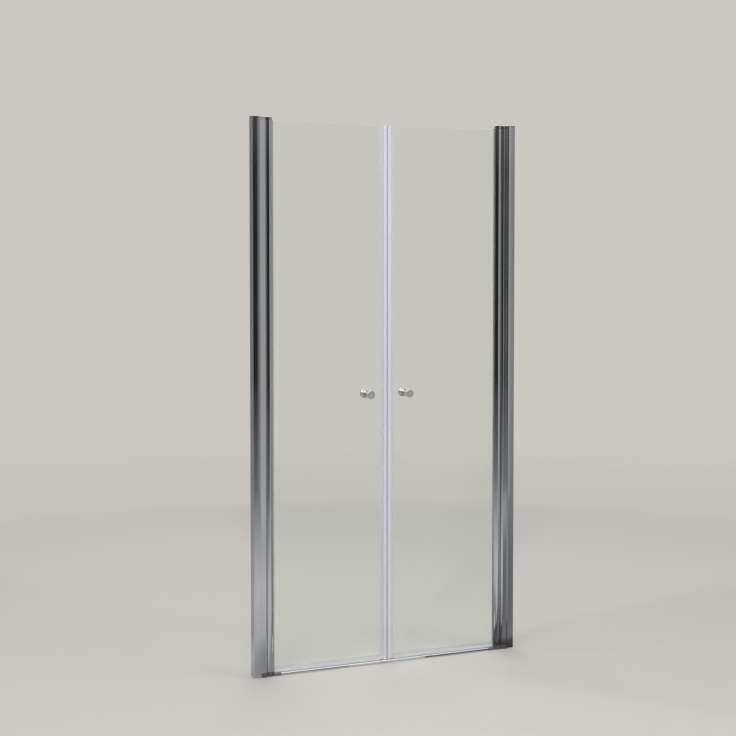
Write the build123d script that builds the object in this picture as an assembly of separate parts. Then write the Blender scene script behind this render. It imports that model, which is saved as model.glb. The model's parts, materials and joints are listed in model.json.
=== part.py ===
from build123d import *
import math
import os

# Niche shower door: two clear glass leaves, each hung on a full-height pivot rail, swinging in and out.
# Millimetres. X runs along the doorway, +Y points into the shower, +Z is up.
# The origin is on the tray, midway between the walls, in the middle plane of the glass.
# Every side piece is built for the left wall, with that wall at x = 0, then moved there or mirrored.

# Overall size
WIDTH = 1000.0
HEIGHT = 1900.0

# Wall channel: a U that is screwed to the wall
CHANNEL_REACH = 25.3
CHANNEL_HALF = 17.5
CHANNEL_CROWN = 0.5
CHANNEL_FRONT_CROWN = 0.22
CHANNEL_FALL = 1.1
CHANNEL_WALL = 1.8
CHANNEL_WEB = 2.0
CHANNEL_EDGE_R = 0.8
WALL_HOLE_R = 2.75
WALL_HOLE_COUNT = 4
WALL_HOLE_MARGIN = 150.0

# Top cap of the wall channel
CAP_THICK = 6.0
CAP_LEG = 5.0
CAP_EDGE_R = 0.8

# Carrier profile: slides in the channel to take up walls that are out of true
CARRIER_BACK = 8.0
CARRIER_WALL = 1.6
CARRIER_SLIDE_FIT = 0.4
CARRIER_CORNER_R = 6.5
CARRIER_TAIL_R = 0.8
NOSE_WALL = 2.2
NOSE_GAP = 0.8

# Sealing lips in the carrier's nose
LIP_ANGLE = 31.0
LIP_WIDTH = 1.1
LIP_ROOT = 1.0
LIP_GAP = 0.3

# Adjusting screws and their snap caps, through the inner flange of the channel
ADJUST_SCREW_COUNT = 3
ADJUST_SCREW_MARGIN = 150.0
SCREW_R = 1.75
SCREW_HEAD_R = 3.5
SCREW_HEAD = 2.2
SCREW_HEAD_EDGE_R = 0.7
SCREW_SLOT = 0.7
SCREW_BITE = 4.0
FLANGE_HOLE_R = 2.1
SNAP_CAP_R = 5.5
SNAP_CAP_TOP = 1.0
SNAP_CAP_EDGE_R = 1.4

# Pivot rail: a round tube with a jaw that holds the glass
PIVOT_FROM_WALL = 60.0
RAIL_R = 13.5
RAIL_WALL = 1.5
JAW_REACH = 16.0
JAW_HALF = 5.8
JAW_ROOT_R = 1.5
JAW_EDGE_R = 0.9
POCKET_FLOOR = 7.0

# Bearing blocks above and below the rail, with a tenon in the carrier
BOTTOM_BLOCK = 15.0
TOP_BLOCK = 12.0
BLOCK_GAP = 0.3
BLOCK_BLEND_R = 0.4
BLOCK_EDGE_R = 2.0
TENON = 20.0
TENON_FIT = 0.15
BLOCK_SCREW_INSET = 10.0
BLOCK_SCREW_FROM_WALL = 33.0

# Pins, bushes and the washer that the leaf turns on
PIN_R = 3.0
PIN_SEAT = 9.0
PIN_REACH = 22.0
PIN_TIP = 0.6
RUNNING_FIT = 0.05
BUSH_R = 4.2
BUSH_FLANGE_R = 5.1
BUSH_FLANGE = 1.2
BUSH = 25.0
THRUST_WASHER_R = 9.0
THRUST_WASHER = 1.0
TOP_GAP = 1.0

# Plugs in the ends of the rail, each with a grub screw
PLUG = 32.0
PLUG_FIT = 0.15
PLUG_SCREW_R = 2.5
PLUG_SCREW_TIP = 7.0
PLUG_SCREW_INSET = 16.0
PLUG_SCREW_SOCKET_R = 1.25
PLUG_SCREW_SOCKET = 2.5
PLUG_SCREW_SUNK = 0.5

# Glass and the gasket that holds it in the jaw
GLASS = 6.0
GLASS_ARRIS = 0.6
GLASS_FROM_FLOOR = 18.0
GLASS_FROM_TOP = 17.0
GASKET_SIDE = 1.6
GASKET_FLOOR = 0.8
GASKET_BEAD = 1.5
GASKET_BEAD_SIDE = 0.8
GASKET_BEAD_R = 0.5

# Magnetic seal on the meeting edge
MEETING_GAP = 0.8
SEAL_GRIP = 13.0
SEAL_SIDE = 1.4
SEAL_WEB = 1.5
SEAL_NECK = 4.2
SEAL_NECK_WALL = 1.0
SEAL_FROM_FLOOR = 11.0
MAGNET_BOX_SIDE = 1.9
MAGNET_BOX_WALL = 1.0
MAGNET_BOX_BACK_R = 0.8
MAGNET_BOX_MEETING_R = 3.0
MAGNET_WIDE = 5.2
MAGNET_DEEP = 5.4
MAGNET_FIT = 0.1

# Drip seal under the glass
DRIP_SIDE = 1.2
DRIP_GRIP = 12.0
DRIP_WEB = 1.4
DRIP_FROM_FLOOR = 10.5
DRIP_WALL = 0.9
DRIP_FIN = 4.3
DRIP_FIN_DROP = 3.6
DRIP_END_GAP = 0.3

# Threshold strip on the tray, its end pieces and its tape
THRESHOLD_OUTER = 12.0
THRESHOLD_INNER = 8.0
THRESHOLD_TOP = 9.5
THRESHOLD_WALL = 1.4
THRESHOLD_EDGE_R = 3.0
TAPE = 1.0
TAPE_INSET = 2.0
END_PIECE = 25.0
END_PIECE_GAP = 1.0
END_PIECE_PROUD = 0.5
END_PIECE_R = 1.2
END_TONGUE = 12.0
END_TONGUE_FIT = 0.15

# Knobs, one each side of the glass on a common stud
KNOB_FROM_CENTRE = 74.0
KNOB_HEIGHT = 950.0
KNOB = 32.0
KNOB_BASE_R = 11.0
KNOB_WAIST_R = 7.5
KNOB_HEAD_R = 15.0
KNOB_FOOT = 1.5
KNOB_HEAD = 9.0
KNOB_DOME = 0.3
KNOB_RIM = 1.5
STUD_R = 3.0
STUD_BITE = 18.0
KNOB_WASHER = 1.0
SLEEVE_WALL = 2.9
GLASS_HOLE_GAP = 0.1

# How near two places are to count as one
TOUCH = 1e-3

# Places that several pieces share
half_glass = GLASS / 2
centre_x = WIDTH / 2
channel_top = HEIGHT - CAP_THICK
flange_inside = CHANNEL_HALF - CHANNEL_WALL
flange_crest = CHANNEL_HALF + CHANNEL_CROWN
carrier_half = flange_inside - CARRIER_SLIDE_FIT
nose_r = RAIL_R + NOSE_GAP
nose_tip_y = carrier_half - CARRIER_CORNER_R
nose_tip_x = PIVOT_FROM_WALL - math.sqrt(nose_r ** 2 - nose_tip_y ** 2)
carrier_bottom = BOTTOM_BLOCK
carrier_top = HEIGHT - TOP_BLOCK
block_screw_tip = carrier_half - CARRIER_WALL - 2 * SCREW_BITE
rail_bottom = BOTTOM_BLOCK + THRUST_WASHER
rail_top = HEIGHT - TOP_BLOCK - TOP_GAP
pocket_half = half_glass + GASKET_SIDE
jaw_end_x = PIVOT_FROM_WALL + JAW_REACH
glass_edge_x = PIVOT_FROM_WALL + POCKET_FLOOR + GASKET_FLOOR
glass_top = HEIGHT - GLASS_FROM_TOP
seal_face_x = centre_x - MEETING_GAP / 2
magnet_box = MAGNET_DEEP + 2 * MAGNET_FIT + 2 * MAGNET_BOX_WALL
glass_free_x = seal_face_x - magnet_box - SEAL_NECK - SEAL_WEB
seal_grip_x = glass_free_x - SEAL_GRIP
drip_start_x = jaw_end_x + GASKET_BEAD + DRIP_END_GAP
drip_end_x = seal_grip_x - DRIP_END_GAP
end_piece_x = PIVOT_FROM_WALL + RAIL_R + END_PIECE_GAP
strip_x = end_piece_x + END_PIECE
knob_x = centre_x - KNOB_FROM_CENTRE
washer_out = half_glass + KNOB_WASHER


def spread(count, low, high):
    """Evenly spaced places from low to high."""
    return [low + (high - low) * i / (count - 1) for i in range(count)]


def block_xy(x0, x1, half):
    """A rectangle from x0 to x1, centred on y = 0."""
    return Pos((x0 + x1) / 2, 0) * Rectangle(x1 - x0, 2 * half)


def column(sketch, z0, z1):
    """A plan outline drawn up from z0 to z1."""
    return Pos(0, 0, z0) * extrude(sketch, amount=z1 - z0)


def post(x, y, radius, z0, z1):
    """An upright round bar."""
    return column(Pos(x, y) * Circle(radius), z0, z1)


def bar_y(x, z, radius, y0, y1):
    """A round bar along Y."""
    return Pos(x, y0, z) * extrude(Plane.XZ * Circle(radius), amount=y0 - y1)


def beam(section, x0, x1):
    """A section drawn in Y and Z, run along X from x0 to x1."""
    return Pos(x0, 0, 0) * extrude(Plane.YZ * section, amount=x1 - x0)


# Wall channel and its top cap

def channel_outline():
    """The channel's outer outline in plan: crowned behind, and falling back to the wall in front."""
    middle = CHANNEL_REACH / 2
    wall_y = flange_crest - CHANNEL_FALL
    middle_y = flange_crest - CHANNEL_FALL / 2 + CHANNEL_FRONT_CROWN
    front = ThreePointArc((0, -wall_y), (middle, -middle_y), (CHANNEL_REACH, -flange_crest))
    mouth = Line((CHANNEL_REACH, -flange_crest), (CHANNEL_REACH, CHANNEL_HALF))
    back = ThreePointArc((CHANNEL_REACH, CHANNEL_HALF), (middle, flange_crest), (0, CHANNEL_HALF))
    foot = Line((0, CHANNEL_HALF), (0, -wall_y))
    outline = make_face([front, mouth, back, foot])
    return fillet(outline.vertices().group_by(Axis.X)[-1], CHANNEL_EDGE_R)


def wall_channel():
    section = channel_outline() - block_xy(CHANNEL_WEB, 2 * CHANNEL_REACH, flange_inside)
    channel = column(section, 0, channel_top)
    for z in wall_hole_heights():
        channel -= Pos(0, 0, z) * Rot(0, 90, 0) * Cylinder(WALL_HOLE_R, 4 * CHANNEL_WEB)
    for z in adjust_screw_heights():
        channel -= bar_y(adjust_screw_x(), z, FLANGE_HOLE_R, 0, flange_crest + CHANNEL_WALL)
    return channel


def wall_hole_heights():
    return spread(WALL_HOLE_COUNT, WALL_HOLE_MARGIN, HEIGHT - WALL_HOLE_MARGIN)


def top_cap():
    plate = column(channel_outline(), channel_top, HEIGHT)
    plate = fillet(rim(plate, 0), CAP_EDGE_R)
    leg = block_xy(CHANNEL_WEB + TENON_FIT, CARRIER_BACK, flange_inside - TENON_FIT)
    return plate + column(leg, channel_top - CAP_LEG, channel_top)


# Carrier profile and its sealing lips

def carrier_outline(inset, nose):
    """The carrier's plan outline, drawn in by inset, with a hollow nose round the pivot axis."""
    body = block_xy(CARRIER_BACK + inset, nose_tip_x - inset, carrier_half - inset)
    body = fillet(body.vertices().group_by(Axis.X)[-1], CARRIER_CORNER_R - inset)
    return body - Pos(PIVOT_FROM_WALL, 0) * Circle(nose)


def lip_sections(outer_r, inner_r):
    """The two lips in plan, between two radii about the pivot axis."""
    ring = Circle(outer_r) - Circle(inner_r)
    spoke = block_xy(0, 2 * outer_r, LIP_WIDTH / 2)
    axis = Pos(PIVOT_FROM_WALL, 0)
    return [axis * (ring & Rot(0, 0, angle) * spoke) for angle in (180 - LIP_ANGLE, 180 + LIP_ANGLE)]


def carrier_profile():
    outline = carrier_outline(0, nose_r)
    outline = fillet(outline.vertices().group_by(Axis.X)[0], CARRIER_TAIL_R)
    section = outline - carrier_outline(CARRIER_WALL, nose_r + NOSE_WALL)
    for groove in lip_sections(nose_r + LIP_ROOT, RAIL_R):
        section -= groove
    carrier = column(section, carrier_bottom, carrier_top)
    for z in adjust_screw_heights():
        carrier -= bar_y(adjust_screw_x(), z, SCREW_R, 0, 2 * carrier_half)
    for z in block_screw_heights():
        carrier -= bar_y(BLOCK_SCREW_FROM_WALL, z, SCREW_R, 0, 2 * carrier_half)
    return carrier


def seal_lips():
    lips = lip_sections(nose_r + LIP_ROOT, RAIL_R + LIP_GAP)
    return [column(lip, carrier_bottom, carrier_top) for lip in lips]


# Screws

def adjust_screw_x():
    return CHANNEL_REACH / 2


def adjust_screw_heights():
    return spread(ADJUST_SCREW_COUNT, ADJUST_SCREW_MARGIN, HEIGHT - ADJUST_SCREW_MARGIN)


def block_screw_heights():
    return [carrier_bottom + BLOCK_SCREW_INSET, carrier_top - BLOCK_SCREW_INSET]


def pan_screw(x, z, seat, tip):
    """A pan-head screw along Y with its head outside the plane y = seat and a cross recess."""
    head = bar_y(x, z, SCREW_HEAD_R, seat, seat + SCREW_HEAD)
    head = fillet(head.edges().group_by(Axis.Y)[-1], SCREW_HEAD_EDGE_R)
    for turn in (0, 90):
        slot = Rot(0, turn, 0) * Box(SCREW_HEAD_R, SCREW_HEAD, SCREW_SLOT)
        head -= Pos(x, seat + SCREW_HEAD, z) * slot
    return head + bar_y(x, z, SCREW_R, tip, seat)


def adjust_screws():
    tip = carrier_half - CARRIER_WALL - SCREW_BITE
    return [pan_screw(adjust_screw_x(), z, flange_crest, tip) for z in adjust_screw_heights()]


def bearing_screws():
    return [pan_screw(BLOCK_SCREW_FROM_WALL, z, carrier_half, block_screw_tip) for z in block_screw_heights()]


def screw_caps():
    caps = []
    for z in adjust_screw_heights():
        crest = flange_crest + SCREW_HEAD
        cap = bar_y(adjust_screw_x(), z, SNAP_CAP_R, flange_crest, crest + SNAP_CAP_TOP)
        cap = fillet(cap.edges().group_by(Axis.Y)[-1], SNAP_CAP_EDGE_R)
        caps.append(cap - bar_y(adjust_screw_x(), z, SCREW_HEAD_R, flange_crest, crest))
    return caps


# Bearing blocks, pins and the thrust washer

def block_outline():
    """The block's plan outline, which carries on that of the carrier and the rail."""
    rear = block_xy(CHANNEL_REACH + BLOCK_GAP, nose_tip_x, carrier_half)
    rear = fillet(rear.vertices().group_by(Axis.X)[-1], CARRIER_CORNER_R)
    outline = rear + Pos(PIVOT_FROM_WALL, 0) * Circle(RAIL_R)
    valley = [v for v in outline.vertices() if abs(v.X - nose_tip_x) < TOUCH and abs(v.Y) < nose_tip_y - TOUCH]
    return fillet(valley, BLOCK_BLEND_R)


def tenon_outline():
    corner_x = nose_tip_x - CARRIER_CORNER_R
    nose_x = PIVOT_FROM_WALL - nose_r - NOSE_WALL
    front_x = min(corner_x, nose_x) - TENON_FIT
    back_x = max(CARRIER_BACK + CARRIER_WALL, CHANNEL_REACH + BLOCK_GAP) + TENON_FIT
    return block_xy(back_x, front_x, carrier_half - CARRIER_WALL - TENON_FIT)


def rim(solid, back_x):
    """The edges round a solid's top face, except the one along its back."""
    return [e for e in solid.edges().group_by(Axis.Z)[-1] if e.center().X > back_x + TOUCH]


def bottom_bearing():
    block = column(block_outline(), 0, BOTTOM_BLOCK)
    block += column(tenon_outline(), BOTTOM_BLOCK, BOTTOM_BLOCK + TENON)
    block -= post(PIVOT_FROM_WALL, 0, PIN_R, BOTTOM_BLOCK - PIN_SEAT, BOTTOM_BLOCK)
    return block - block_screw_hole(block_screw_heights()[0])


def top_bearing():
    base = HEIGHT - TOP_BLOCK
    block = column(block_outline(), base, HEIGHT)
    block = fillet(rim(block, CHANNEL_REACH + BLOCK_GAP), BLOCK_EDGE_R)
    block += column(tenon_outline(), base - TENON, base)
    block -= post(PIVOT_FROM_WALL, 0, PIN_R, base, base + PIN_SEAT)
    return block - block_screw_hole(block_screw_heights()[1])


def block_screw_hole(z):
    return bar_y(BLOCK_SCREW_FROM_WALL, z, SCREW_R, block_screw_tip, carrier_half)


def bottom_pin():
    pin = post(PIVOT_FROM_WALL, 0, PIN_R, BOTTOM_BLOCK - PIN_SEAT, rail_bottom + PIN_REACH)
    return chamfer(pin.edges().group_by(Axis.Z)[-1], PIN_TIP)


def top_pin():
    pin = post(PIVOT_FROM_WALL, 0, PIN_R, rail_top - PIN_REACH, HEIGHT - TOP_BLOCK + PIN_SEAT)
    return chamfer(pin.edges().group_by(Axis.Z)[0], PIN_TIP)


def thrust_washer():
    washer = Circle(THRUST_WASHER_R) - Circle(PIN_R + RUNNING_FIT)
    return column(Pos(PIVOT_FROM_WALL, 0) * washer, BOTTOM_BLOCK, rail_bottom)


# Pivot rail with its plugs, bushes and grub screws

def rail_hollow(inset):
    """The hollow of the tube behind the glass pocket, about the pivot axis, drawn in by inset."""
    pocket_wall = block_xy(POCKET_FLOOR - RAIL_WALL - inset, 2 * RAIL_R, pocket_half + RAIL_WALL + inset)
    return Circle(RAIL_R - RAIL_WALL - inset) - pocket_wall


def rail_section():
    jaw = block_xy(0, JAW_REACH, JAW_HALF)
    jaw = fillet(jaw.vertices().group_by(Axis.X)[-1], JAW_EDGE_R)
    outline = Circle(RAIL_R) + jaw
    root_x = math.sqrt(RAIL_R ** 2 - JAW_HALF ** 2)
    root = [v for v in outline.vertices() if abs(v.X - root_x) < TOUCH]
    outline = fillet(root, JAW_ROOT_R)
    pocket = block_xy(POCKET_FLOOR, 2 * JAW_REACH, pocket_half)
    return Pos(PIVOT_FROM_WALL, 0) * (outline - pocket - rail_hollow(0))


def pivot_rail():
    rail = column(rail_section(), rail_bottom, rail_top)
    for z in plug_screw_heights():
        rail -= bar_y(PIVOT_FROM_WALL, z, PLUG_SCREW_R, RAIL_R / 2, 2 * RAIL_R)
    return rail


def plug_screw_heights():
    return [rail_bottom + PLUG_SCREW_INSET, rail_top - PLUG_SCREW_INSET]


def end_plug(z0, z1, flange_z0, flange_z1, screw_z):
    """A plug that fills the rail's hollow from z0 to z1, bored for its bush and grub screw."""
    plug = column(Pos(PIVOT_FROM_WALL, 0) * rail_hollow(PLUG_FIT), z0, z1)
    plug -= post(PIVOT_FROM_WALL, 0, BUSH_R, z0, z1)
    plug -= post(PIVOT_FROM_WALL, 0, BUSH_FLANGE_R, flange_z0, flange_z1)
    return plug - bar_y(PIVOT_FROM_WALL, screw_z, PLUG_SCREW_R, PLUG_SCREW_TIP, 2 * RAIL_R)


def bottom_plug():
    flange_top = rail_bottom + BUSH_FLANGE
    return end_plug(rail_bottom, rail_bottom + PLUG, rail_bottom, flange_top, plug_screw_heights()[0])


def top_plug():
    flange_low = rail_top - BUSH_FLANGE
    return end_plug(rail_top - PLUG, rail_top, flange_low, rail_top, plug_screw_heights()[1])


def bushes():
    low = post(PIVOT_FROM_WALL, 0, BUSH_R, rail_bottom, rail_bottom + BUSH)
    low += post(PIVOT_FROM_WALL, 0, BUSH_FLANGE_R, rail_bottom, rail_bottom + BUSH_FLANGE)
    high = post(PIVOT_FROM_WALL, 0, BUSH_R, rail_top - BUSH, rail_top)
    high += post(PIVOT_FROM_WALL, 0, BUSH_FLANGE_R, rail_top - BUSH_FLANGE, rail_top)
    bore = post(PIVOT_FROM_WALL, 0, PIN_R + RUNNING_FIT, 0, HEIGHT)
    return [low - bore, high - bore]


def plug_screws():
    screws = []
    for z in plug_screw_heights():
        outer_y = RAIL_R - PLUG_SCREW_SUNK
        screw = bar_y(PIVOT_FROM_WALL, z, PLUG_SCREW_R, PLUG_SCREW_TIP, outer_y)
        socket = extrude(Plane.XZ * RegularPolygon(PLUG_SCREW_SOCKET_R, 6), amount=-2 * PLUG_SCREW_SOCKET)
        screws.append(screw - Pos(PIVOT_FROM_WALL, outer_y - PLUG_SCREW_SOCKET, z) * socket)
    return screws


# Glass leaf and its seals

def glass():
    pane = column(block_xy(glass_edge_x, glass_free_x, half_glass), GLASS_FROM_FLOOR, glass_top)
    pane = chamfer(pane.edges().filter_by(Axis.Y, reverse=True), GLASS_ARRIS)
    return pane - bar_y(knob_x, KNOB_HEIGHT, glass_hole_r(), -GLASS, GLASS)


def glass_hole_r():
    return STUD_R + RUNNING_FIT + SLEEVE_WALL + GLASS_HOLE_GAP


def glass_gasket():
    floor_x = PIVOT_FROM_WALL + POCKET_FLOOR
    bead = block_xy(jaw_end_x, jaw_end_x + GASKET_BEAD, pocket_half + GASKET_BEAD_SIDE)
    bead = fillet(bead.vertices().group_by(Axis.X)[-1], GASKET_BEAD_R)
    section = block_xy(floor_x, jaw_end_x, pocket_half) + bead
    section -= block_xy(glass_edge_x, 2 * jaw_end_x, half_glass)
    return column(section, rail_bottom, rail_top)


def centre_seal():
    """Grips the glass edge, with a hollow neck and a box for the magnet strip."""
    grip_half = half_glass + SEAL_SIDE
    web_x = glass_free_x + SEAL_WEB
    box_x = web_x + SEAL_NECK
    grip = block_xy(seal_grip_x, web_x, grip_half) - block_xy(seal_grip_x, glass_free_x, half_glass)
    neck = block_xy(web_x, box_x, grip_half) - block_xy(web_x, box_x, grip_half - SEAL_NECK_WALL)
    box = block_xy(box_x, seal_face_x, half_glass + MAGNET_BOX_SIDE)
    box = fillet(box.vertices().group_by(Axis.X)[0], MAGNET_BOX_BACK_R)
    box = fillet(box.vertices().group_by(Axis.X)[-1], MAGNET_BOX_MEETING_R)
    box -= magnet_outline(0)
    return column(grip + neck + box, SEAL_FROM_FLOOR, glass_top)


def magnet_outline(inset):
    low_x = seal_face_x - magnet_box + MAGNET_BOX_WALL + inset
    high_x = seal_face_x - MAGNET_BOX_WALL - inset
    return block_xy(low_x, high_x, MAGNET_WIDE / 2 + MAGNET_FIT - inset)


def magnet_strip():
    return column(magnet_outline(MAGNET_FIT), SEAL_FROM_FLOOR, glass_top)


def drip_seal():
    """Grips the bottom edge, with a hollow below and a fin that throws water inwards."""
    grip_half = half_glass + DRIP_SIDE
    web_z = GLASS_FROM_FLOOR - DRIP_WEB
    grip_z = GLASS_FROM_FLOOR + DRIP_GRIP

    def rect(y0, y1, z0, z1):
        return Pos((y0 + y1) / 2, (z0 + z1) / 2) * Rectangle(y1 - y0, z1 - z0)

    section = rect(-grip_half, grip_half, DRIP_FROM_FLOOR, grip_z)
    section = fillet(section.vertices().group_by(Axis.Y)[0], DRIP_WALL)
    section -= rect(-half_glass, half_glass, GLASS_FROM_FLOOR, grip_z)
    inner_half = grip_half - DRIP_WALL
    section -= rect(-inner_half, inner_half, DRIP_FROM_FLOOR + DRIP_WALL, web_z)
    fin_top = DRIP_FROM_FLOOR + DRIP_FIN_DROP + DRIP_WALL
    root_y = grip_half - DRIP_WALL / 2
    section += make_face(
        Polyline(
            (root_y, fin_top),
            (grip_half + DRIP_FIN, DRIP_FROM_FLOOR + DRIP_WALL),
            (grip_half + DRIP_FIN, DRIP_FROM_FLOOR),
            (root_y, fin_top - 2 * DRIP_WALL),
            close=True,
        )
    )
    return beam(section, drip_start_x, drip_end_x)


# Knobs and what clamps them to the glass

def knob():
    """A spool-shaped knob on the Y axis, with its base at y = 0."""
    neck_y = KNOB - KNOB_HEAD
    rim_y = KNOB - KNOB_DOME
    neck_r = KNOB_HEAD_R - KNOB_RIM
    waist_y = (KNOB_FOOT + neck_y) / 2
    profile = [
        Line((0, 0), (KNOB_BASE_R, 0)),
        Line((KNOB_BASE_R, 0), (KNOB_BASE_R, KNOB_FOOT)),
        ThreePointArc((KNOB_BASE_R, KNOB_FOOT), (KNOB_WAIST_R, waist_y), (neck_r, neck_y)),
        ThreePointArc((neck_r, neck_y), (KNOB_HEAD_R, (neck_y + rim_y) / 2), (neck_r, rim_y)),
        RadiusArc((neck_r, rim_y), (0, KNOB), -(neck_r ** 2 + KNOB_DOME ** 2) / (2 * KNOB_DOME)),
        Line((0, KNOB), (0, 0)),
    ]
    body = revolve(make_face(profile), Axis.Y)
    return body - bar_y(0, 0, STUD_R, 0, STUD_BITE)


def inner_knob():
    return Pos(knob_x, washer_out, KNOB_HEIGHT) * knob()


def outer_knob():
    return Pos(knob_x, -washer_out, KNOB_HEIGHT) * Rot(0, 0, 180) * knob()


def knob_stud():
    reach = washer_out + STUD_BITE
    return bar_y(knob_x, KNOB_HEIGHT, STUD_R, -reach, reach)


def knob_washers():
    washers = []
    for y0, y1 in ((-washer_out, -half_glass), (half_glass, washer_out)):
        disc = bar_y(knob_x, KNOB_HEIGHT, KNOB_BASE_R, y0, y1)
        washers.append(disc - bar_y(knob_x, KNOB_HEIGHT, STUD_R + RUNNING_FIT, y0, y1))
    return washers


def stud_sleeve():
    outer_r = STUD_R + RUNNING_FIT + SLEEVE_WALL
    sleeve = bar_y(knob_x, KNOB_HEIGHT, outer_r, -half_glass, half_glass)
    return sleeve - bar_y(knob_x, KNOB_HEIGHT, STUD_R + RUNNING_FIT, -half_glass, half_glass)


# Threshold on the tray

def threshold_outline(inset, proud):
    """The strip's section in Y and Z, drawn in by inset or out by proud, with a rounded top."""
    y0 = -THRESHOLD_OUTER - proud + inset
    y1 = THRESHOLD_INNER + proud - inset
    z0 = TAPE + inset
    z1 = THRESHOLD_TOP + proud - inset
    section = Pos((y0 + y1) / 2, (z0 + z1) / 2) * Rectangle(y1 - y0, z1 - z0)
    return fillet(section.vertices().group_by(Axis.Y)[-1], THRESHOLD_EDGE_R - inset)


def threshold_strip():
    section = threshold_outline(0, 0) - threshold_outline(THRESHOLD_WALL, 0)
    return beam(section, strip_x, WIDTH - strip_x)


def threshold_end():
    piece = beam(threshold_outline(0, END_PIECE_PROUD), end_piece_x, strip_x)
    outer_edges = piece.edges().group_by(Axis.X)[0]
    piece = fillet([e for e in outer_edges if e.center().Z > TAPE + TOUCH], END_PIECE_R)
    tongue = threshold_outline(THRESHOLD_WALL + END_TONGUE_FIT, 0)
    return piece + beam(tongue, strip_x, strip_x + END_TONGUE)


def threshold_tape():
    y0 = -THRESHOLD_OUTER + TAPE_INSET
    y1 = THRESHOLD_INNER - TAPE_INSET
    section = Pos((y0 + y1) / 2, TAPE / 2) * Rectangle(y1 - y0, TAPE)
    return beam(section, end_piece_x + TAPE_INSET, WIDTH - end_piece_x - TAPE_INSET)


# Every node, once for each side or once for the whole door
SIDE_PIECES = {
    "wall_channel": wall_channel,
    "top_cap": top_cap,
    "carrier_profile": carrier_profile,
    "seal_lips": seal_lips,
    "adjust_screws": adjust_screws,
    "screw_caps": screw_caps,
    "top_bearing": top_bearing,
    "bottom_bearing": bottom_bearing,
    "top_pin": top_pin,
    "bottom_pin": bottom_pin,
    "thrust_washer": thrust_washer,
    "bearing_screws": bearing_screws,
    "pivot_rail": pivot_rail,
    "top_plug": top_plug,
    "bottom_plug": bottom_plug,
    "bushes": bushes,
    "plug_screws": plug_screws,
    "glass": glass,
    "glass_gasket": glass_gasket,
    "centre_seal": centre_seal,
    "magnet_strip": magnet_strip,
    "drip_seal": drip_seal,
    "outer_knob": outer_knob,
    "inner_knob": inner_knob,
    "knob_stud": knob_stud,
    "knob_washers": knob_washers,
    "stud_sleeve": stud_sleeve,
    "threshold_end": threshold_end,
}
SHARED_PIECES = {
    "threshold_strip": threshold_strip,
    "threshold_tape": threshold_tape,
}


def save(node, shape):
    """Write one node, as one solid or as a group of separate solids."""
    solids = shape if isinstance(shape, list) else [shape]
    placed = [Pos(-centre_x, 0, 0) * solid for solid in solids]
    if node.startswith("right_"):
        placed = [mirror(solid, about=Plane.YZ) for solid in placed]
    export_step(placed[0] if len(placed) == 1 else Compound(children=placed), f"parts/{node}.step")


os.makedirs("parts", exist_ok=True)
for name, make in SIDE_PIECES.items():
    built = make()
    for side in ("left", "right"):
        save(f"{side}_{name}", built)
for name, make in SHARED_PIECES.items():
    save(name, make())
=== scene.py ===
import json
import math

import bmesh
import bpy
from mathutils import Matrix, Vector

# Looks of the shower door: the CAD solids with procedural finishes, on a pale floor in soft light.
# Metres, in the CAD frame: +X along the doorway, +Y into the shower, +Z up.

# Camera, turned by its yaw from +Y towards +X and tilted down by its pitch, in degrees. It was fitted to points
# read from the photograph: profile edges and corners, the meeting line, the knobs and the threshold.
CAMERA_PLACE = (-2.2219, -4.8308, 1.4436)
CAMERA_YAW = 23.994
CAMERA_PITCH = 2.460
CAMERA_LENS = 74.44
CAMERA_SENSOR = 36.0
CAMERA_SHIFT = -0.068

# Finishes, as linear colours
ALUMINIUM = (0.70, 0.71, 0.73)
CHROME = (0.56, 0.56, 0.55)
KNOB_CHROME = (0.70, 0.69, 0.66)
STEEL = (0.62, 0.62, 0.63)
NYLON = (0.86, 0.86, 0.84)
GLASS = (0.955, 0.975, 0.965)
GLASS_EDGE = (0.88, 0.94, 0.92)
GASKET = (0.045, 0.045, 0.047)
MILKY = (0.84, 0.85, 0.93)
MILKY_LIGHT = (0.92, 0.92, 0.96)
CLEAR_VINYL = (0.86, 0.88, 0.90)
MAGNET = (0.90, 0.90, 0.90)
GREY_PLASTIC = (0.17, 0.17, 0.17)
DARK_PLASTIC = (0.11, 0.11, 0.11)
TAPE = (0.04, 0.04, 0.04)
BACKDROP = (0.60, 0.58, 0.55)
WHITE = (1, 1, 1)


# Camera

def add_camera():
    camera = bpy.data.objects.new("camera", bpy.data.cameras.new("camera"))
    bpy.context.scene.collection.objects.link(camera)
    camera.location = CAMERA_PLACE
    camera.rotation_euler = (math.radians(90 - CAMERA_PITCH), 0, math.radians(-CAMERA_YAW))
    camera.data.sensor_width = CAMERA_SENSOR
    camera.data.lens = CAMERA_LENS
    camera.data.shift_y = CAMERA_SHIFT
    bpy.context.scene.camera = camera


# Shader nodes

# The sockets of a Mix node that hold colours: the two that it mixes, and its result
MIX_LOW = 6
MIX_HIGH = 7
MIX_RESULT = 2


def new_material(name):
    """A new material and its node tree, with the Principled shader ready."""
    material = bpy.data.materials.new(name)
    material.use_nodes = True
    return material, material.node_tree


def add(tree, kind, settings=None, **inputs):
    """A shader node with its settings and its sockets by name, given as values or as sockets to link."""
    node = tree.nodes.new("ShaderNode" + kind)
    for key, value in (settings or {}).items():
        setattr(node, key, value)
    for name, value in inputs.items():
        fill(tree, node.inputs[name.replace("_", " ")], value)
    return node


def fill(tree, socket, value):
    if isinstance(value, bpy.types.NodeSocket):
        tree.links.new(value, socket)
    elif socket.type == "RGBA" and len(value) == 3:
        socket.default_value = (*value, 1)
    else:
        socket.default_value = value


def maths(tree, operation, *values, clamp=False):
    node = add(tree, "Math", {"operation": operation, "use_clamp": clamp})
    for socket, value in zip(node.inputs, values):
        fill(tree, socket, value)
    return node.outputs[0]


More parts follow.
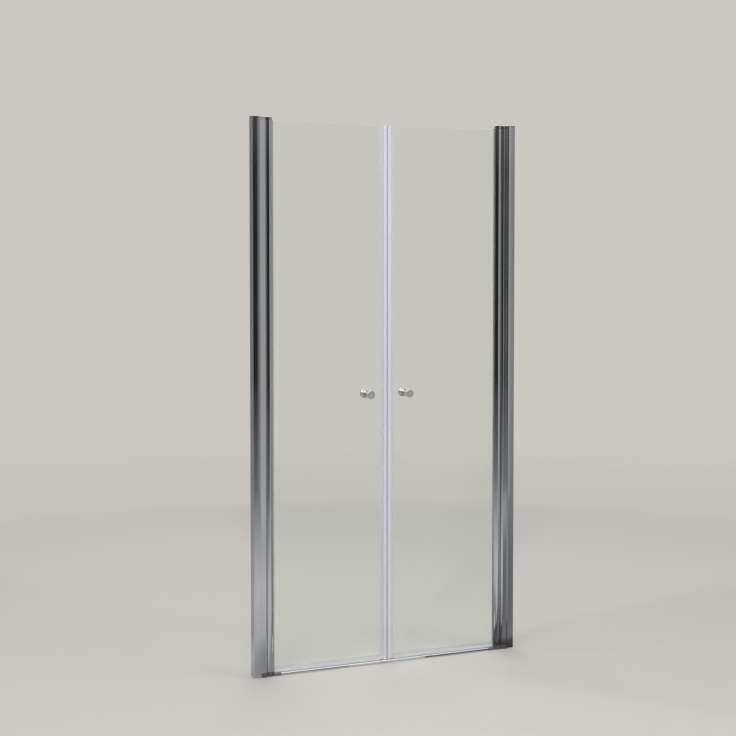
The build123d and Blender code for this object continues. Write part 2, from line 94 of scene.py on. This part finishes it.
def blend_colour(tree, share, low, high):
    """One of two colours, by share from 0 to 1."""
    node = add(tree, "Mix", {"data_type": "RGBA"})
    fill(tree, node.inputs["Factor"], share)
    fill(tree, node.inputs[MIX_LOW], low)
    fill(tree, node.inputs[MIX_HIGH], high)
    return node.outputs[MIX_RESULT]


def uneven(tree, share, colour, shade):
    """A colour that goes down to shade times itself where share is 0."""
    return blend_colour(tree, share, tuple(shade * c for c in colour), colour)


def blend_shaders(tree, share, low, high):
    """One of two shaders, by share from 0 to 1."""
    mix = add(tree, "MixShader", Fac=share)
    tree.links.new(low, mix.inputs[1])
    tree.links.new(high, mix.inputs[2])
    return mix.outputs[0]


def show(tree, surface, output="Material Output"):
    tree.links.new(surface, tree.nodes[output].inputs["Surface"])


def in_range(tree, value, low, high):
    """Value, from 0 to 1, as a number from low to high."""
    return add(tree, "MapRange", Value=value, To_Min=low, To_Max=high).outputs[0]


def all_ways(scale):
    """The same number of features per metre along X, Y and Z."""
    return (scale, scale, scale)


def noise(tree, scale, detail=2.0, roughness=0.5):
    """Noise in the piece's own coordinates, with features per metre along X, Y and Z."""
    own = add(tree, "TexCoord").outputs["Object"]
    placed = add(tree, "Mapping", Vector=own, Scale=scale).outputs[0]
    return add(tree, "TexNoise", Vector=placed, Scale=1.0, Detail=detail, Roughness=roughness).outputs[0]


def bump(tree, height, strength, distance):
    return add(tree, "Bump", Height=height, Strength=strength, Distance=distance).outputs[0]


def principled(tree, **inputs):
    shader = tree.nodes["Principled BSDF"]
    for name, value in inputs.items():
        fill(tree, shader.inputs[name.replace("_", " ")], value)
    return shader


# Metal finishes, each with the roughness at the two ends of its pattern

LINES_ACROSS = 1800.0
LINES_ALONG = 3.0
SMEARS = (9.0, 9.0, 5.0)
EXTRUDED_ROUGHNESS = (0.05, 0.15)
PEEL = 420.0
FILM = 60.0
PLATED_ROUGHNESS = (0.02, 0.12)
TURNING_MARKS = (300.0, 300.0, 4000.0)
TURNED_ROUGHNESS = (0.18, 0.34)


def extruded(name, lines):
    """Bright anodised extrusion: fine die lines along one axis and faint cloudy smears."""
    material, tree = new_material(name)
    die_lines = noise(tree, lines, detail=3.0)
    smears = noise(tree, SMEARS, detail=4.0, roughness=0.6)
    mixed = maths(tree, "MULTIPLY", die_lines, smears)
    principled(
        tree,
        Base_Color=uneven(tree, smears, ALUMINIUM, shade=0.96),
        Metallic=1.0,
        Roughness=in_range(tree, mixed, *EXTRUDED_ROUGHNESS),
        Normal=bump(tree, die_lines, strength=0.25, distance=0.00001),
    )
    return material


def plated(name, colour):
    """Chrome plate: a mirror with a faint orange peel and a few dried drops."""
    material, tree = new_material(name)
    peel = noise(tree, all_ways(PEEL))
    film = noise(tree, all_ways(FILM), detail=5.0, roughness=0.65)
    principled(
        tree,
        Base_Color=uneven(tree, film, colour, shade=0.94),
        Metallic=1.0,
        Roughness=in_range(tree, film, *PLATED_ROUGHNESS),
        Normal=bump(tree, peel, strength=0.08, distance=0.00002),
    )
    return material


def turned_steel(name):
    """Plain stainless steel with fine turning marks."""
    material, tree = new_material(name)
    marks = noise(tree, TURNING_MARKS, detail=3.0)
    principled(
        tree,
        Base_Color=uneven(tree, marks, STEEL, shade=0.85),
        Metallic=1.0,
        Roughness=in_range(tree, marks, *TURNED_ROUGHNESS),
        Normal=bump(tree, marks, strength=0.3, distance=0.00002),
    )
    return material


# Plastic and rubber finishes

CLOUDS = 35.0
ROUGHNESS_SPREAD = 0.08


def moulded(name, colour, roughness, grain=900.0, shade=0.88):
    """Moulded plastic or rubber with a fine grain and slightly uneven colour."""
    material, tree = new_material(name)
    fine = noise(tree, all_ways(grain), detail=3.0)
    broad = noise(tree, all_ways(CLOUDS), detail=4.0, roughness=0.6)
    principled(
        tree,
        Base_Color=uneven(tree, broad, colour, shade),
        Roughness=in_range(tree, fine, roughness - ROUGHNESS_SPREAD, roughness + ROUGHNESS_SPREAD),
        Normal=bump(tree, fine, strength=0.25, distance=0.00005),
    )
    return material


# Glass

# A face of the pane is an edge face where its normal has less than this along Y
EDGE_LIMIT = 0.95
EDGE_ROUGHNESS = 0.28
EDGE_CLEARNESS = 0.5
FACE_ROUGHNESS = (0.0, 0.03)
GLASS_FILM = (14.0, 14.0, 9.0)
ROLLER_WAVE = (2.0, 2.0, 4.0)
GLASS_SHADOW = (0.93, 0.95, 0.94)


def let_lamps_through(tree, surface, tint):
    """Shadow rays pass the surface with a light tint, so the pieces behind it stay lit."""
    shadow = add(tree, "LightPath").outputs["Is Shadow Ray"]
    clear = add(tree, "BsdfTransparent", Color=tint)
    show(tree, blend_shaders(tree, shadow, surface, clear.outputs[0]))


def edge_share(tree):
    """1 on the narrow edge faces of an upright pane and 0 on its broad faces, from the piece's own normal."""
    normal = add(tree, "TexCoord").outputs["Normal"]
    split = add(tree, "SeparateXYZ", Vector=normal)
    depth = maths(tree, "ABSOLUTE", split.outputs["Y"])
    return maths(tree, "LESS_THAN", depth, EDGE_LIMIT)


def clear_glass(name):
    """Clear toughened glass: slightly green-grey, with a faint roller wave and ground edges."""
    material, tree = new_material(name)
    edge = edge_share(tree)
    film = noise(tree, GLASS_FILM, detail=6.0, roughness=0.7)
    wave = noise(tree, ROLLER_WAVE, detail=0.0)
    face_roughness = in_range(tree, film, *FACE_ROUGHNESS)
    shader = principled(
        tree,
        Base_Color=blend_colour(tree, edge, GLASS, GLASS_EDGE),
        Roughness=maths(tree, "MAXIMUM", face_roughness, maths(tree, "MULTIPLY", edge, EDGE_ROUGHNESS)),
        IOR=1.52,
        Transmission_Weight=in_range(tree, edge, 1.0, EDGE_CLEARNESS),
        Normal=bump(tree, wave, strength=0.4, distance=0.0002),
    )
    let_lamps_through(tree, shader.outputs[0], GLASS_SHADOW)
    return material


# Soft vinyl

# Where the two kinds of seal pass from clear grip to body: metres from the meeting line, and above the floor
MEETING_BODY = (0.0142, 0.0130)
DRIP_BODY = (0.0184, 0.0176)
# Painted shade along the line where the two magnet boxes meet: where it lies, in metres from that line, and its
# colour
MEETING_SHADE_BAND = (0.0040, 0.0026)
PAINTED_MEETING_SHADE = (0.66, 0.65, 0.72)
# What vinyl pressed flat on the glass tints, and how much of it is see-through on the grip and on the body
GRIP_TINT = (0.985, 0.985, 0.988)
MEETING_SEEN_THROUGH = (0.86, 0.0)
DRIP_SEEN_THROUGH = (0.88, 0.1)
# How much of the other clear vinyl is see-through, at the two ends of its draw lines
CLEAR_SEEN_THROUGH = (0.45, 0.55)
# Draw lines per metre across and along a seal
DRAWN_ACROSS = 1500.0
DRAWN_ALONG = 4.0
DRAWN_UPRIGHT = (DRAWN_ACROSS, DRAWN_ACROSS, DRAWN_ALONG)
DRAWN_LEVEL = (DRAWN_ALONG, DRAWN_ACROSS, DRAWN_ACROSS)
MILKY_CLOUDS = (30.0, 30.0, 12.0)
MILKY_CLOUD_SHARE = 0.5
MILKY_ROUGHNESS = (0.16, 0.30)
MILKY_SHADOW = (0.8, 0.8, 0.82)
CLEAR_CLOUDS = 25.0
CLEAR_ROUGHNESS = (0.10, 0.24)
CLEAR_SHADOW = (0.85, 0.86, 0.87)


def thin_where(tree, surface, share):
    """The surface, all but see-through by share: soft vinyl pressed flat on the glass can hardly be seen."""
    clear = add(tree, "BsdfTransparent", Color=GRIP_TINT)
    return blend_shaders(tree, share, surface, clear.outputs[0])


def body_share(tree, axis, limits):
    """1 on the body of a seal and 0 on its grip, by the distance along one axis from the piece's origin."""
    own = add(tree, "TexCoord").outputs["Object"]
    across = maths(tree, "ABSOLUTE", add(tree, "SeparateXYZ", Vector=own).outputs[axis])
    return add(tree, "MapRange", Value=across, From_Min=limits[0], From_Max=limits[1]).outputs[0]


def milky_vinyl(name):
    """Soft vinyl of the meeting edge: milky round the magnet with painted shade where the boxes meet, nearly clear
    on the glass.
    """
    material, tree = new_material(name)
    body = body_share(tree, "X", MEETING_BODY)
    pulled = noise(tree, DRAWN_UPRIGHT, detail=3.0)
    cloud = noise(tree, MILKY_CLOUDS, detail=4.0)
    milk = blend_colour(tree, maths(tree, "MULTIPLY", cloud, MILKY_CLOUD_SHARE), MILKY, MILKY_LIGHT)
    shader = principled(
        tree,
        # The milky colour is darkened by painted shade along the line where the two boxes meet
        Base_Color=blend_colour(tree, body_share(tree, "X", MEETING_SHADE_BAND), milk, PAINTED_MEETING_SHADE),
        Roughness=in_range(tree, pulled, *MILKY_ROUGHNESS),
        IOR=1.46,
        Transmission_Weight=0.3,
        Normal=bump(tree, pulled, strength=0.2, distance=0.00004),
    )
    surface = thin_where(tree, shader.outputs[0], in_range(tree, body, *MEETING_SEEN_THROUGH))
    let_lamps_through(tree, surface, MILKY_SHADOW)
    return material


def clear_vinyl(name, along, body_axis=None, clearness=0.75):
    """Transparent soft vinyl with faint draw lines along its length and, on the drip seal, an unseen grip."""
    material, tree = new_material(name)
    pulled = noise(tree, along, detail=3.0)
    cloud = noise(tree, all_ways(CLEAR_CLOUDS), detail=4.0)
    shader = principled(
        tree,
        Base_Color=uneven(tree, cloud, CLEAR_VINYL, shade=0.94),
        Roughness=in_range(tree, pulled, *CLEAR_ROUGHNESS),
        IOR=1.42,
        Transmission_Weight=clearness,
        Normal=bump(tree, pulled, strength=0.2, distance=0.00004),
    )
    if body_axis:
        share = in_range(tree, body_share(tree, body_axis, DRIP_BODY), *DRIP_SEEN_THROUGH)
    else:
        share = in_range(tree, pulled, *CLEAR_SEEN_THROUGH)
    let_lamps_through(tree, thin_where(tree, shader.outputs[0], share), CLEAR_SHADOW)
    return material


# Which finish goes where

def all_finishes():
    """The material of each slot, and of the nodes that were drawn along X."""
    return {
        "polished_profile": extruded("polished_profile", (LINES_ACROSS, LINES_ACROSS, LINES_ALONG)),
        "chrome_trim": plated("chrome_trim", CHROME),
        "chrome_knob": plated("chrome_knob", KNOB_CHROME),
        "stainless_steel": turned_steel("stainless_steel"),
        "white_nylon": moulded("white_nylon", NYLON, roughness=0.45),
        "clear_glass": clear_glass("clear_glass"),
        "grey_gasket": moulded("grey_gasket", GASKET, roughness=0.55),
        "milky_seal": milky_vinyl("milky_seal"),
        "clear_seal": clear_vinyl("clear_seal", DRAWN_UPRIGHT),
        "drip_seal": clear_vinyl("clear_drip_seal", DRAWN_LEVEL, "Z", clearness=0.3),
        "magnet_strip": moulded("magnet_strip", MAGNET, roughness=0.5),
        "grey_plastic": moulded("grey_plastic", GREY_PLASTIC, roughness=0.42),
        "dark_plastic": moulded("dark_plastic", DARK_PLASTIC, roughness=0.38),
        "foam_tape": moulded("foam_tape", TAPE, roughness=0.8, grain=2500.0),
        "threshold_strip": extruded("threshold_profile", (LINES_ALONG, LINES_ACROSS, LINES_ACROSS)),
    }


def dress(nodes, record):
    """Gives every CAD node the finish of its own kind where there is one, or else that of its slot."""
    finishes = all_finishes()
    for part in record["subparts"]:
        name = part["node"]
        mesh = nodes[name].data
        mesh.materials.clear()
        kind = name.removeprefix("left_").removeprefix("right_")
        mesh.materials.append(finishes.get(kind, finishes[part["material_slot"]]))


# Stage: a round floor that fades into the pale surroundings

FLOOR_R = 40.0
FADE_FROM = 2.6
FADE_TO = 6.5
FLOOR_STEPS = (0.0, 1.0, 2.0, 4.0, 8.0, 16.0, FLOOR_R)
FLOOR_SIDES = 64
FLOOR_MOTTLE = 0.8
MERGE_WITHIN = 1e-5


def as_object(name, shape):
    mesh = bpy.data.meshes.new(name)
    shape.to_mesh(mesh)
    shape.free()
    made = bpy.data.objects.new(name, mesh)
    bpy.context.scene.collection.objects.link(made)
    return made


def seen_directly(tree):
    """1 for rays from the camera, from a mirror or through glass, and 0 for those that light things."""
    path = add(tree, "LightPath")
    direct = maths(tree, "MAXIMUM", path.outputs["Is Camera Ray"], path.outputs["Is Glossy Ray"])
    return maths(tree, "MAXIMUM", direct, path.outputs["Is Transmission Ray"])


def floor_shape():
    shape = bmesh.new()
    points = [shape.verts.new((r, 0, 0)) for r in FLOOR_STEPS]
    edges = [shape.edges.new(pair) for pair in zip(points, points[1:])]
    bmesh.ops.spin(shape, geom=points + edges, cent=(0, 0, 0), axis=(0, 0, 1), angle=2 * math.pi,
                   steps=FLOOR_SIDES, use_merge=True)
    bmesh.ops.remove_doubles(shape, verts=shape.verts, dist=MERGE_WITHIN)
    return shape


def add_floor():
    floor = as_object("floor", floor_shape())
    for face in floor.data.polygons:
        if face.normal.z < 0:
            face.flip()
    material, tree = new_material("floor")
    mottle = noise(tree, all_ways(FLOOR_MOTTLE), detail=3.0)
    near = principled(tree, Base_Color=uneven(tree, mottle, BACKDROP, shade=0.97), Roughness=0.7)
    own = add(tree, "TexCoord").outputs["Object"]
    distance = add(tree, "VectorMath", {"operation": "LENGTH"}, Vector=own).outputs["Value"]
    fade = add(tree, "MapRange", {"interpolation_type": "SMOOTHSTEP"}, Value=distance, From_Min=FADE_FROM,
               From_Max=FADE_TO).outputs[0]
    far = add(tree, "Emission", Color=BACKDROP, Strength=1.0)
    share = maths(tree, "MULTIPLY", fade, seen_directly(tree))
    show(tree, blend_shaders(tree, share, near.outputs[0], far.outputs[0]))
    floor.data.materials.append(material)


# A curtain all round that only reflections see: it gives the bright metal something dark and something light to
# mirror. Each stop is an angle off -Y towards +X and the brightness there above, at the middle and over the floor.
CURTAIN_STOPS = (
    (-110, 0.50, 0.46, 0.58),
    (-95, 0.12, 0.02, 0.60),
    (7.8, 0.12, 0.02, 0.60),
    (11.0, 0.52, 0.42, 0.62),
    (31.2, 0.56, 0.44, 0.62),
    (34.2, 0.10, 0.02, 0.60),
    (36.1, 0.10, 0.02, 0.60),
    (36.4, 0.72, 0.56, 0.30),
    (38.2, 0.52, 0.40, 0.24),
    (40.7, 0.40, 0.28, 0.16),
    (55, 0.46, 0.30, 0.18),
    (74, 0.60, 0.45, 0.25),
    (80, 0.34, 0.18, 0.10),
    (104, 0.34, 0.18, 0.10),
    (110, 0.55, 0.50, 0.58),
    (138, 0.55, 0.50, 0.58),
    (139, 0.26, 0.18, 0.40),
    (171, 0.26, 0.18, 0.40),
    (172, 0.55, 0.50, 0.58),
    (205, 0.55, 0.50, 0.58),
    (206, 0.28, 0.20, 0.40),
    (230, 0.28, 0.20, 0.40),
    (250, 0.50, 0.46, 0.58),
)
# The curtain's line in section, from the top down and in over the floor: radius, height and the share there of
# the brightness above, at the middle and over the floor
CURTAIN_LINE = (
    (3.60, 3.400, (1, 0, 0)),
    (3.60, 2.600, (1, 0, 0)),
    (3.60, 1.900, (0, 1, 0)),
    (3.60, 0.700, (0, 1, 0)),
    (3.55, 0.100, (0, 0.75, 0.25)),
    (2.40, 0.030, (0, 0.35, 0.65)),
    (1.30, 0.006, (0, 0, 1)),
    (0.62, 0.0035, (0, 0, 0.85)),
    (0.45, 0.003, (0, 0, 0.5)),
    (0.15, 0.003, (0, 0, 0.5)),
)
# About how many degrees apart the curtain's columns stand
CURTAIN_STEP = 2.5


def curtain_columns():
    """The turn of each column of the curtain and its three tones, evenly between the stops."""
    for (start, *first), (end, *last) in zip(CURTAIN_STOPS, CURTAIN_STOPS[1:]):
        count = max(1, round((end - start) / CURTAIN_STEP))
        for i in range(count + (end == CURTAIN_STOPS[-1][0])):
            share = i / count
            turn = math.radians(start + (end - start) * share)
            yield turn, [low + (high - low) * share for low, high in zip(first, last)]


def curtain_shape():
    shape = bmesh.new()
    brightness = shape.verts.layers.float.new("brightness")
    columns = []
    for turn, tones in curtain_columns():
        column = []
        for radius, height, weights in CURTAIN_LINE:
            vertex = shape.verts.new((radius * math.sin(turn), -radius * math.cos(turn), height))
            vertex[brightness] = sum(w * tone for w, tone in zip(weights, tones))
            column.append(vertex)
        columns.append(column)
    for left, right in zip(columns, columns[1:]):
        for i in range(len(CURTAIN_LINE) - 1):
            shape.faces.new((left[i], right[i], right[i + 1], left[i + 1]))
    return shape


def add_curtain():
    curtain = as_object("curtain", curtain_shape())
    material, tree = new_material("curtain")
    tone = add(tree, "Attribute", {"attribute_name": "brightness"}).outputs["Fac"]
    show(tree, add(tree, "Emission", Color=WHITE, Strength=tone).outputs[0])
    curtain.data.materials.append(material)
    curtain.visible_camera = False
    curtain.visible_diffuse = False
    curtain.visible_transmission = False
    curtain.visible_shadow = False


# Lamps, each as its place, what it looks at, its size and its power in watts. Seen from the camera's height, they
# hang above what the upright faces reflect.
LAMPS = {
    "key": ((-2.4, -3.2, 4.9), (0, 0, 0.9), (3.4, 2.3), 110.0),
    "fill": ((2.4, -3.0, 4.6), (0, 0, 0.9), (2.6, 2.2), 45.0),
    "rear": ((0.6, 3.2, 4.6), (0, 0, 0.8), (2.6, 2.0), 45.0),
}
WORLD_LIGHT = 0.6
# How much brighter mirrors see the sky above the curtain
OVERHEAD = 1.8


def add_lamp(name, place, target, size, power):
    data = bpy.data.lights.new(name, "AREA")
    data.shape = "RECTANGLE"
    data.size, data.size_y = size
    data.energy = power
    lamp = bpy.data.objects.new(name, data)
    bpy.context.scene.collection.objects.link(lamp)
    lamp.location = place
    lamp.rotation_euler = (Vector(target) - Vector(place)).to_track_quat("-Z", "Y").to_euler()


def mirrored_only(tree):
    """1 for rays from a mirror and 0 for all others. Rays through glass count as both, so they are taken off."""
    path = add(tree, "LightPath")
    return maths(tree, "SUBTRACT", path.outputs["Is Glossy Ray"], path.outputs["Is Transmission Ray"],
                 clamp=True)


def add_world():
    """Pale surroundings that the camera, mirrors and glass see, and a plain soft light from all sides."""
    world = bpy.data.worlds.new("studio")
    world.use_nodes = True
    bpy.context.scene.world = world
    tree = world.node_tree
    light = tree.nodes["Background"]
    fill(tree, light.inputs["Strength"], WORLD_LIGHT)
    fill(tree, light.inputs["Color"], WHITE)
    seen = add(tree, "Background", Color=BACKDROP, Strength=in_range(tree, mirrored_only(tree), 1.0, OVERHEAD))
    both = blend_shaders(tree, seen_directly(tree), light.outputs[0], seen.outputs[0])
    show(tree, both, "World Output")


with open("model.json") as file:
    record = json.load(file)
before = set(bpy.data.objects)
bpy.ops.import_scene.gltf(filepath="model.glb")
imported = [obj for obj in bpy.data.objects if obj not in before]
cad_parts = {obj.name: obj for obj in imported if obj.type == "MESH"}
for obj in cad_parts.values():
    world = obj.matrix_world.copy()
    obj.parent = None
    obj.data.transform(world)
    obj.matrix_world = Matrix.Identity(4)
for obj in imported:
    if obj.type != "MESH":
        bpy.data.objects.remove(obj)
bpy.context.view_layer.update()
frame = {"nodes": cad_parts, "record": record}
add_camera()
dress(frame["nodes"], frame["record"])
add_floor()
add_curtain()
for name, settings in LAMPS.items():
    add_lamp(name, *settings)
add_world()
bpy.context.scene.view_settings.view_transform = "Standard"
